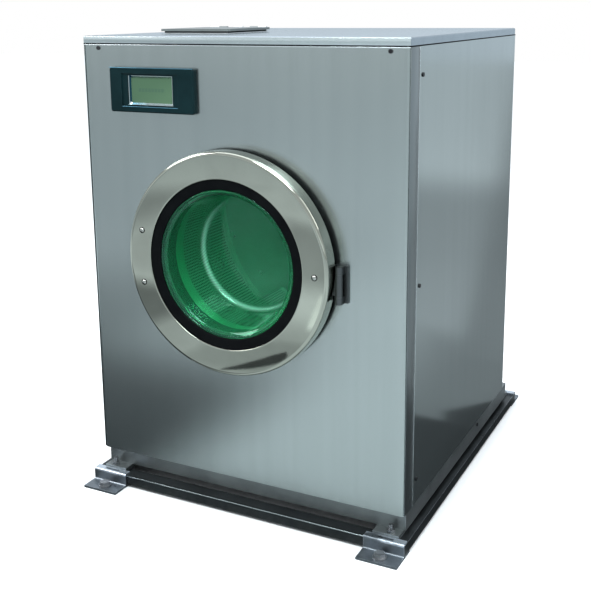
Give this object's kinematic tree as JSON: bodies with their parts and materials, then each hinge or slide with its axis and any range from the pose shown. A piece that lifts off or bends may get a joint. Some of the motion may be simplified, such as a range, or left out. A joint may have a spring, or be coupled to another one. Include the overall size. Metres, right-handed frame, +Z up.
{
  "type": "dry cleaning machine",
  "caption": "Floor-standing stainless garment cleaning machine with a round glass bowl door, perforated drum with lifters, display panel and dispenser lid on a bolted-down base frame.",
  "frame": {"origin": "centre of the footprint, on the floor", "axes": "+X to the right seen from the front, +Y from the front to the rear, +Z up"},
  "size_m": [0.908, 1.126, 1.2248],
  "materials": {
    "frame_steel": "satin black",
    "zinc_sheet": "zinc-plated",
    "bolt_steel": "plain steel",
    "chassis_steel": "dark satin",
    "stainless_panel": "brushed",
    "stainless_cover": "brushed",
    "black_plastic": "moulded, satin",
    "display_bezel": "bright",
    "display_glass": "dull green display",
    "grey_plastic": "moulded",
    "stainless_inner": "smooth",
    "lid_steel": "brushed",
    "black_rubber": "matt",
    "polished_steel": "polished",
    "door_fittings": "satin",
    "glass": "clear, faint green",
    "lock_plastic": "moulded",
    "cast_iron": "cast, painted grey",
    "bearing_steel": "ground",
    "motor_paint": "satin"
  },
  "bodies": {
    "cabinet": {"anchor_bolts": "bolt_steel", "base_rail_front": "frame_steel", "base_rail_left": "frame_steel", "base_rail_rear": "frame_steel", "base_rail_right": "frame_steel", "bearing_bulkhead": "cast_iron", "cable_gland": "black_plastic", "chassis_rail_front": "chassis_steel", "chassis_rail_left": "chassis_steel", "chassis_rail_rear": "chassis_steel", "chassis_rail_right": "chassis_steel", "control_bezel": "black_plastic", "control_box": "grey_plastic", "dispenser_hopper": "stainless_inner", "dispenser_hose": "black_rubber", "display_frame": "display_bezel", "display_screen": "display_glass", "door_hinge_block": "door_fittings", "door_hinge_pin": "bolt_steel", "door_lock_body": "lock_plastic", "door_seal": "black_rubber", "drain_valve": "grey_plastic", "drive_belt": "black_rubber", "drum_bearings": "bearing_steel", "foot_front_left": "zinc_sheet", "foot_front_right": "zinc_sheet", "foot_rear_left": "zinc_sheet", "foot_rear_right": "zinc_sheet", "front_panel": "stainless_panel", "left_side_panel": "stainless_panel", "lid_gasket": "black_rubber", "lid_hinge_pin": "bolt_steel", "motor": "motor_paint", "motor_base": "chassis_steel", "mount_bolts": "bolt_steel", "mount_plates": "chassis_steel", "panel_screws": "bolt_steel", "rear_panel": "stainless_panel", "right_side_panel": "stainless_panel", "top_cover": "stainless_cover", "tub_saddle_front": "chassis_steel", "tub_saddle_rear": "chassis_steel", "tub_shell": "stainless_inner", "vent_pipe": "stainless_inner", "water_valves": "grey_plastic"},
    "door": {"door_ring": "polished_steel", "door_clamp_ring": "door_fittings", "glazing_gasket": "black_rubber", "door_glass": "glass", "door_ring_screws": "bolt_steel", "door_hinge_arm": "door_fittings", "latch_hook": "door_fittings"},
    "drum": {"drum_shell": "stainless_inner", "drum_back": "stainless_inner", "drum_lifters": "stainless_inner", "drum_shaft": "bearing_steel", "drum_pulley": "cast_iron"},
    "motor_rotor": {"motor_pulley": "cast_iron"},
    "dispenser_cover": {"dispenser_lid": "lid_steel"},
    "lock_bolt": {"door_lock_bolt": "bolt_steel"}
  },
  "joints": [
    {"name": "door_swing", "type": "hinge", "parent": "cabinet", "child": "door", "pos_m": [0.28, -0.5, 0.645], "axis": [0, 0, 1], "range_deg": [0, 130]},
    {"name": "drum_spin", "type": "hinge", "parent": "cabinet", "child": "drum", "pos_m": [-0.008, 0, 0.668], "axis": [0, 1, 0], "continuous": true},
    {"name": "motor_spin", "type": "hinge", "parent": "cabinet", "child": "motor_rotor", "pos_m": [0.232, 0, 0.208], "axis": [0, 1, 0], "continuous": true},
    {"name": "dispenser_lid_hinge", "type": "hinge", "parent": "cabinet", "child": "dispenser_cover", "pos_m": [-0.2375, -0.043, 1.2193], "axis": [-1, 0, 0], "range_deg": [0, 100]},
    {"name": "lock_bolt_slide", "type": "slide", "parent": "cabinet", "child": "lock_bolt", "axis": [-1, 0, 0], "range_m": [0, 0.014]}
  ],
  "couplings": [
    {"joint": "motor_spin", "follows": "drum_spin", "ratio": 4.4}
  ]
}
